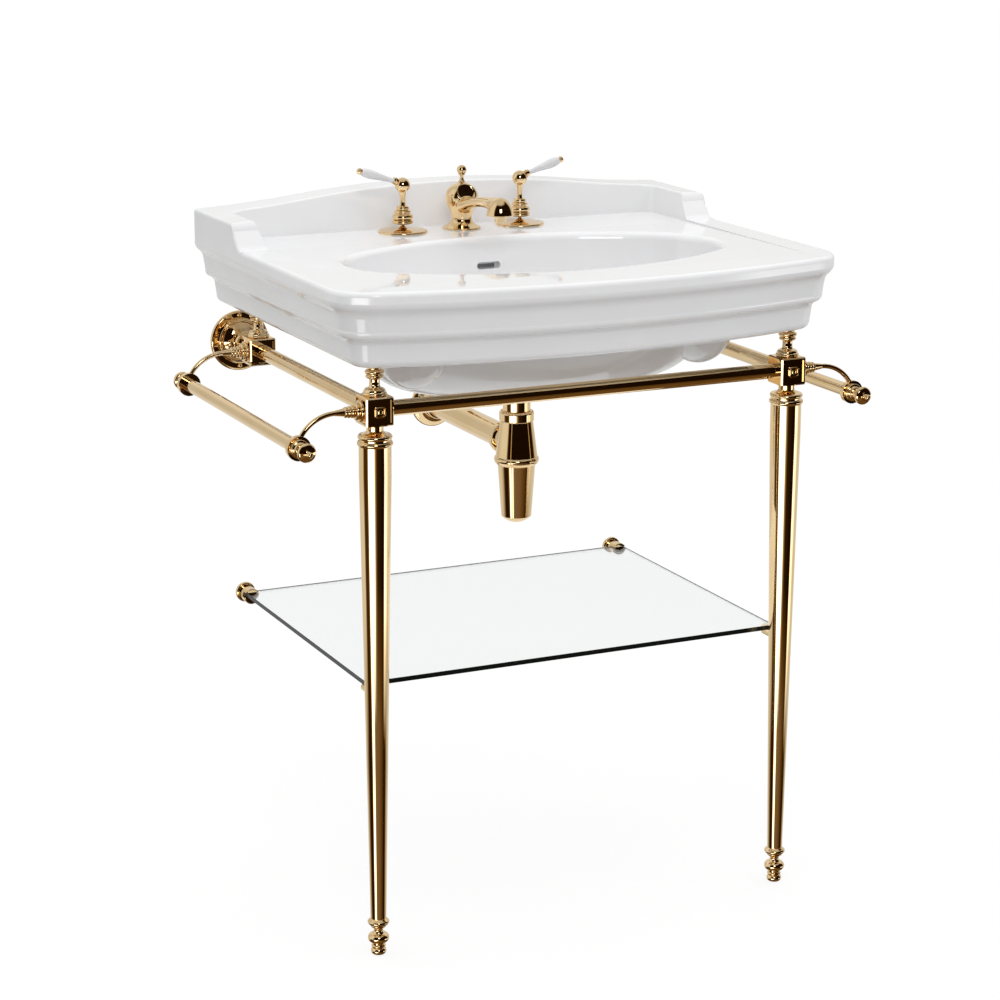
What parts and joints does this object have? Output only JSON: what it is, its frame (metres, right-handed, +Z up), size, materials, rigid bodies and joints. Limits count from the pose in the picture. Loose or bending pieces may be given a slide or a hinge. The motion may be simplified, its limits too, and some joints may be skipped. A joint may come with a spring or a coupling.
{
  "type": "console_sink",
  "caption": "Console washbasin in white china on two tapered brass legs, with towel rails, a glass shelf, lever taps and a bottle trap.",
  "frame": {"origin": "On the floor (z = 0), under the middle of the bounding box: x = 0 is the middle of the basin, y = 0 is half way from the basin front to the wall.", "axes": "+X is along the wall to the right as seen from the front, +Y points at the wall, +Z is up."},
  "size_m": [0.7794, 0.5549, 0.9121],
  "materials": {
    "white_vitreous_china": "gloss glaze",
    "polished_gold": "polished",
    "plain_brass": "satin, as machined",
    "white_porcelain": "gloss glaze",
    "clear_glass": "clear, ground edges",
    "black_rubber": "matt"
  },
  "bodies": {
    "console": {"aerator": "polished_gold", "basin": "white_vitreous_china", "basin_supports": "polished_gold", "block_caps": "polished_gold", "block_front_left": "polished_gold", "block_front_right": "polished_gold", "block_rear_left": "polished_gold", "block_rear_right": "polished_gold", "cartridges": "plain_brass", "cross_pipes": "plain_brass", "deck_nuts": "plain_brass", "deck_washers": "black_rubber", "dip_tube": "plain_brass", "escutcheon_left": "polished_gold", "escutcheon_right": "polished_gold", "feet": "polished_gold", "leg_left": "polished_gold", "leg_right": "polished_gold", "outlet_nut": "polished_gold", "outlet_pipe": "polished_gold", "pivot_nut": "polished_gold", "rail_front": "polished_gold", "rail_left": "polished_gold", "rail_right": "polished_gold", "rosette_left": "polished_gold", "rosette_right": "polished_gold", "rosette_screws": "polished_gold", "shelf_glass": "clear_glass", "shelf_rests": "polished_gold", "shelf_sockets": "polished_gold", "spout": "polished_gold", "spout_shank": "plain_brass", "spout_tee": "plain_brass", "towel_arm_front_left": "polished_gold", "towel_arm_front_right": "polished_gold", "towel_arm_rear_left": "polished_gold", "towel_arm_rear_right": "polished_gold", "towel_bar_left": "polished_gold", "towel_bar_right": "polished_gold", "towel_knobs": "polished_gold", "trap_body": "polished_gold", "trap_collar": "polished_gold", "trap_cup": "polished_gold", "valve_body_left": "plain_brass", "valve_body_right": "plain_brass", "wall_cover": "polished_gold", "waste_body": "polished_gold", "waste_nut": "plain_brass", "waste_washer": "black_rubber"},
    "left_handle": {"tap_hub_left": "polished_gold", "lever_grip_left": "white_porcelain", "lever_button_left": "polished_gold"},
    "right_handle": {"tap_hub_right": "polished_gold", "lever_grip_right": "white_porcelain", "lever_button_right": "polished_gold"},
    "lift": {"lift_rod": "polished_gold", "lift_strap": "polished_gold"},
    "pivot": {"pivot_rod": "polished_gold"},
    "plug": {"pop_up_plug": "polished_gold", "plug_seal": "black_rubber"}
  },
  "joints": [
    {"name": "left_tap", "type": "hinge", "parent": "console", "child": "left_handle", "pos_m": [-0.0845, 0.1815, 0.85], "axis": [0, 0, 1], "range_deg": [0, 90]},
    {"name": "right_tap", "type": "hinge", "parent": "console", "child": "right_handle", "pos_m": [0.0845, 0.1815, 0.85], "axis": [0, 0, -1], "range_deg": [0, 90]},
    {"name": "pull_rod", "type": "slide", "parent": "console", "child": "lift", "axis": [0, 0, 1], "range_m": [0, 0.03]},
    {"name": "pivot_turn", "type": "hinge", "parent": "console", "child": "pivot", "pos_m": [0, 0.0355, 0.626], "axis": [1, 0, 0], "range_deg": [0, 12.3]},
    {"name": "plug_travel", "type": "slide", "parent": "console", "child": "plug", "axis": [0, 0, 1], "range_m": [-0.0053, 0]}
  ],
  "couplings": [
    {"joint": "pivot_turn", "follows": "pull_rod", "rad_per_m": 7.0671},
    {"joint": "plug_travel", "follows": "pull_rod", "ratio": -0.16961}
  ]
}
